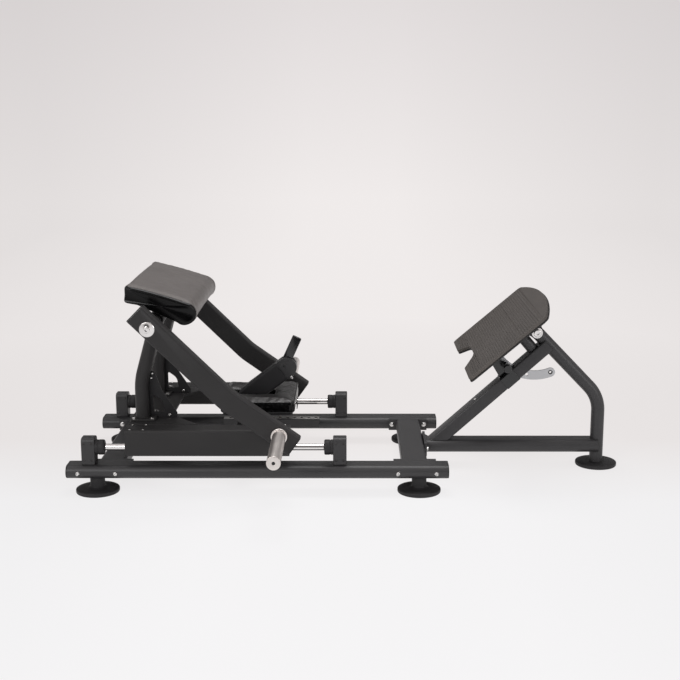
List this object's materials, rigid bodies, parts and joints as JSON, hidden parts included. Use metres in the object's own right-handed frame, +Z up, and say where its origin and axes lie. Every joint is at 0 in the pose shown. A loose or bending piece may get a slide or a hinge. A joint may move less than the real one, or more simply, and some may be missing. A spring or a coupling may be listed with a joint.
{
  "type": "hip thrust machine",
  "caption": "Floor machine for hip thrusts: a sliding carriage with a back pad, a low seat and swinging weight arms on guide rods, facing an indexed foot plate on a stand.",
  "frame": {"origin": "On the floor under the middle of the overall box.", "axes": "+X from the back pad towards the foot plate, +Y away from the operator's side, +Z up."},
  "size_m": [2.12, 1.5366, 0.7742],
  "materials": {
    "charcoal_frame": "satin charcoal powder coat",
    "black_plastic": "matte moulded",
    "gloss_black": "glossy moulded",
    "black_rubber": "matte",
    "ribbed_mat": "matte ribbed",
    "grey_leather": "matte upholstery",
    "chrome": "polished",
    "silver_steel": "brushed"
  },
  "bodies": {
    "base": {"rail_near": "charcoal_frame", "rail_far": "charcoal_frame", "foot_rear_near": "black_rubber", "foot_front_near": "black_rubber", "foot_rear_far": "black_rubber", "foot_front_far": "black_rubber", "foot_stand": "black_rubber", "rear_cross_member": "charcoal_frame", "front_cross_member": "charcoal_frame", "rod_block_rear_near": "black_plastic", "rod_block_front_near": "black_plastic", "rod_block_rear_far": "black_plastic", "rod_block_front_far": "black_plastic", "guide_rod_near": "chrome", "guide_rod_far": "chrome", "index_bar": "charcoal_frame", "stand_flange": "charcoal_frame", "stand_base_tube": "charcoal_frame", "stand_post_tube": "charcoal_frame", "stand_incline_tube": "charcoal_frame", "plate_stop": "charcoal_frame", "plate_stop_rubber": "black_rubber", "pin_housing": "black_plastic"},
    "foot_plate": {"foot_plate": "charcoal_frame", "foot_mat": "ribbed_mat", "plate_ears": "charcoal_frame", "quadrant": "silver_steel", "pivot_bolt": "chrome"},
    "foot_pin": {"foot_pin": "gloss_black"},
    "carriage": {"carriage_cover_near": "charcoal_frame", "carriage_cover_far": "charcoal_frame", "rod_bearing_rear_near": "black_plastic", "rod_bearing_front_near": "black_plastic", "rod_bearing_rear_far": "black_plastic", "rod_bearing_front_far": "black_plastic", "carriage_deck": "charcoal_frame", "carriage_cross_tube": "charcoal_frame", "pad_post_near": "charcoal_frame", "pad_post_far": "charcoal_frame", "post_gusset_near": "charcoal_frame", "post_gusset_far": "charcoal_frame", "boom": "charcoal_frame", "lever_bracket": "gloss_black", "lock_housing": "gloss_black", "seat_cushion": "grey_leather", "seat_board": "charcoal_frame"},
    "release_lever": {"release_lever": "gloss_black"},
    "lock_pin": {"lock_pin": "chrome"},
    "weight_arms": {"arm_axle": "chrome", "weight_arm_near": "charcoal_frame", "weight_arm_far": "charcoal_frame", "weight_horn_near": "chrome", "weight_horn_far": "chrome", "arm_rest_near": "black_rubber", "arm_rest_far": "black_rubber"},
    "back_pad": {"pad_cushion": "grey_leather", "pad_board": "black_plastic", "pad_bracket": "charcoal_frame"}
  },
  "joints": [
    {"name": "carriage_slide", "type": "slide", "parent": "base", "child": "carriage", "axis": [1, 0, 0], "range_m": [-0.06, 0.12]},
    {"name": "arm_swing", "type": "hinge", "parent": "carriage", "child": "weight_arms", "pos_m": [-0.728, 0, 0.64], "axis": [0, 1, 0], "range_deg": [-55, 0]},
    {"name": "pad_tilt", "type": "hinge", "parent": "carriage", "child": "back_pad", "pos_m": [-0.728, 0, 0.64], "axis": [0, 1, 0], "range_deg": [-25, 0]},
    {"name": "release_lever_tilt", "type": "hinge", "parent": "carriage", "child": "release_lever", "pos_m": [-0.26496, 0, 0.40935], "axis": [0, 1, 0], "range_deg": [-24, 0]},
    {"name": "lock_pin_drop", "type": "slide", "parent": "carriage", "child": "lock_pin", "axis": [0, 0, 1], "range_m": [-0.018, 0]},
    {"name": "foot_plate_tilt", "type": "hinge", "parent": "base", "child": "foot_plate", "pos_m": [0.722, 0, 0.546], "axis": [0, 1, 0], "range_deg": [0, 30.5]},
    {"name": "foot_pin_pull", "type": "slide", "parent": "base", "child": "foot_pin", "axis": [0, 1, 0], "range_m": [0, 0.008]}
  ],
  "couplings": [
    {"joint": "lock_pin_drop", "follows": "release_lever_tilt", "m_per_rad": 0.0425}
  ]
}
